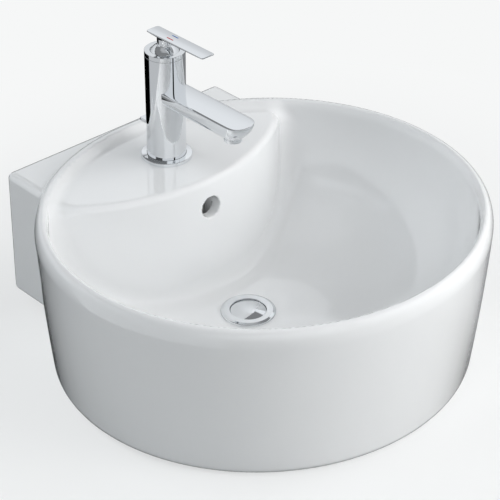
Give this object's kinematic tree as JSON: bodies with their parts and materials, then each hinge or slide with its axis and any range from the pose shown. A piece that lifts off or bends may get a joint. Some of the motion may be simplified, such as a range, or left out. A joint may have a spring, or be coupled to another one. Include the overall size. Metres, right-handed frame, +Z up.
{
  "type": "countertop basin",
  "caption": "Round countertop basin with a flat tap deck and a rear wall box, a single-lever mixer tap, an overflow and a rod-worked pop-up waste.",
  "frame": {"origin": "on the counter plane, under the centre of the drum's rim", "axes": "+Z up, +Y towards the wall, +X to the user's right as they stand at the basin"},
  "size_m": [0.4999, 0.488, 0.496],
  "materials": {
    "china": "clear glossy glaze on white vitreous china",
    "chrome": "mirror chrome plate on brass",
    "brass": "machined, unplated",
    "steel": "drawn or stamped stainless steel",
    "rubber": "moulded black rubber",
    "alumina": "lapped alumina",
    "white_plastic": "moulded acetal",
    "dark_plastic": "moulded acetal",
    "grey_plastic": "moulded plug",
    "red_enamel": "enamel filled into a groove",
    "blue_enamel": "enamel filled into a groove"
  },
  "bodies": {
    "basin": {"basin_body": "china", "base_gasket": "rubber", "base_flange": "chrome", "tap_body": "chrome", "cap_ring": "chrome", "cartridge_body": "white_plastic", "cartridge_seals": "rubber", "cartridge_nut": "brass", "fixed_disc": "alumina", "aerator_housing": "chrome", "aerator_insert": "white_plastic", "aerator_seal": "rubber", "mounting_stud": "brass", "clamp_gasket": "rubber", "clamp_plate": "steel", "stud_nut": "brass", "pivot_seal": "white_plastic", "pivot_nut": "chrome", "waste_body": "chrome", "flange_seal": "rubber", "waste_gasket": "rubber", "waste_washer": "white_plastic", "waste_nut": "brass", "tail_seal": "rubber", "tailpiece": "chrome"},
    "swivel": {"spindle_carrier": "dark_plastic", "spindle_pin": "steel"},
    "lever": {"lever_handle": "chrome", "hot_mark": "red_enamel", "cold_mark": "blue_enamel", "handle_set_screw": "steel", "set_screw_cap": "grey_plastic", "cartridge_spindle": "steel"},
    "disc": {"moving_disc": "alumina", "disc_driver": "dark_plastic"},
    "rod": {"lift_knob": "chrome", "lift_rod": "steel", "clevis_strap": "steel", "clevis_screw": "brass"},
    "pivot": {"ball_rod": "steel", "spring_clip": "steel"},
    "plug": {"plug_cap": "chrome", "plug_stem": "white_plastic", "plug_seal": "rubber"}
  },
  "joints": [
    {"name": "lever_swivel", "type": "hinge", "parent": "basin", "child": "swivel", "pos_m": [0, 0.16, 0.296], "axis": [0, 0, 1], "range_deg": [-50, 50]},
    {"name": "lever_lift", "type": "hinge", "parent": "swivel", "child": "lever", "pos_m": [0, 0.16, 0.296], "axis": [-1, 0, 0], "range_deg": [0, 25]},
    {"name": "disc_slide", "type": "slide", "parent": "swivel", "child": "disc", "axis": [0, -1, 0], "range_m": [0, 0.00736]},
    {"name": "rod_slide", "type": "slide", "parent": "basin", "child": "rod", "axis": [0, 0, -1], "range_m": [0, 0.023]},
    {"name": "pivot_swing", "type": "hinge", "parent": "basin", "child": "pivot", "pos_m": [0, 0.06, -0.055], "axis": [-1, 0, 0], "range_deg": [0, 11.29]},
    {"name": "plug_lift", "type": "slide", "parent": "basin", "child": "plug", "axis": [0, 0, 1], "range_m": [0, 0.00692]}
  ],
  "couplings": [
    {"joint": "disc_slide", "follows": "lever_lift", "m_per_rad": 0.016865},
    {"joint": "pivot_swing", "follows": "rod_slide", "rad_per_m": 8.5633},
    {"joint": "plug_lift", "follows": "rod_slide", "ratio": 0.30069}
  ]
}
